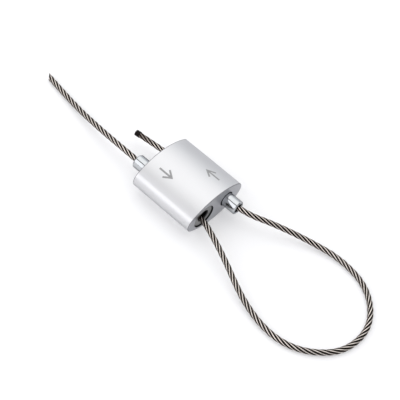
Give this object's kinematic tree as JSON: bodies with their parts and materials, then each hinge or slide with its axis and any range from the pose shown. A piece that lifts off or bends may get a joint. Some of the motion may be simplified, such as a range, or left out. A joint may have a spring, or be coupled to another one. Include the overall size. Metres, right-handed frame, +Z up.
{
  "type": "wire rope grip",
  "caption": "Rounded metal block with sprung release plungers and ball clutches that grips a wire rope passed through it twice to form an adjustable loop.",
  "frame": {"origin": "centre of the block, on the surface that it lies on", "axes": "+X along the channels towards the loop, +Y from the lead channel to the return channel, +Z up through the thickness"},
  "size_m": [0.1195, 0.0328, 0.0102],
  "materials": {
    "satin_aluminium": "satin",
    "polished_steel": "polished",
    "turned_steel": "turned",
    "ball_steel": "polished",
    "spring_wire": "drawn wire",
    "rope_wire": "stranded wire"
  },
  "bodies": {
    "housing": {"housing": "satin_aluminium", "lead_bush": "turned_steel", "return_bush": "turned_steel", "lead_spring": "spring_wire", "return_spring": "spring_wire", "wire_rope": "rope_wire"},
    "lead_plunger": {"lead_plunger": "polished_steel"},
    "return_plunger": {"return_plunger": "polished_steel"},
    "lead_ball_1": {"lead_ball_1": "ball_steel"},
    "lead_ball_2": {"lead_ball_2": "ball_steel"},
    "lead_ball_3": {"lead_ball_3": "ball_steel"},
    "return_ball_1": {"return_ball_1": "ball_steel"},
    "return_ball_2": {"return_ball_2": "ball_steel"},
    "return_ball_3": {"return_ball_3": "ball_steel"}
  },
  "joints": [
    {"name": "lead_plunger_press", "type": "slide", "parent": "housing", "child": "lead_plunger", "axis": [1, 0, 0], "range_m": [0, 0.002], "stiffness_N_per_m": 300, "springref_m": -0.002, "deforming": ["lead_spring"]},
    {"name": "return_plunger_press", "type": "slide", "parent": "housing", "child": "return_plunger", "axis": [-1, 0, 0], "range_m": [0, 0.002], "stiffness_N_per_m": 300, "springref_m": -0.002, "deforming": ["return_spring"]},
    {"name": "lead_ball_1_run", "type": "slide", "parent": "housing", "child": "lead_ball_1", "axis": [0.9848, 0, 0.1736], "range_m": [0, 0.00204]},
    {"name": "lead_ball_2_run", "type": "slide", "parent": "housing", "child": "lead_ball_2", "axis": [0.9848, -0.1504, -0.0868], "range_m": [0, 0.00204]},
    {"name": "lead_ball_3_run", "type": "slide", "parent": "housing", "child": "lead_ball_3", "axis": [0.9848, 0.1504, -0.0868], "range_m": [0, 0.00204]},
    {"name": "return_ball_1_run", "type": "slide", "parent": "housing", "child": "return_ball_1", "axis": [-0.9848, 0, 0.1736], "range_m": [0, 0.00204]},
    {"name": "return_ball_2_run", "type": "slide", "parent": "housing", "child": "return_ball_2", "axis": [-0.9848, 0.1504, -0.0868], "range_m": [0, 0.00204]},
    {"name": "return_ball_3_run", "type": "slide", "parent": "housing", "child": "return_ball_3", "axis": [-0.9848, -0.1504, -0.0868], "range_m": [0, 0.00204]}
  ],
  "couplings": [
    {"joint": "lead_ball_1_run", "follows": "lead_plunger_press", "ratio": 1.0154},
    {"joint": "lead_ball_2_run", "follows": "lead_plunger_press", "ratio": 1.0154},
    {"joint": "lead_ball_3_run", "follows": "lead_plunger_press", "ratio": 1.0154},
    {"joint": "return_ball_1_run", "follows": "return_plunger_press", "ratio": 1.0154},
    {"joint": "return_ball_2_run", "follows": "return_plunger_press", "ratio": 1.0154},
    {"joint": "return_ball_3_run", "follows": "return_plunger_press", "ratio": 1.0154}
  ]
}
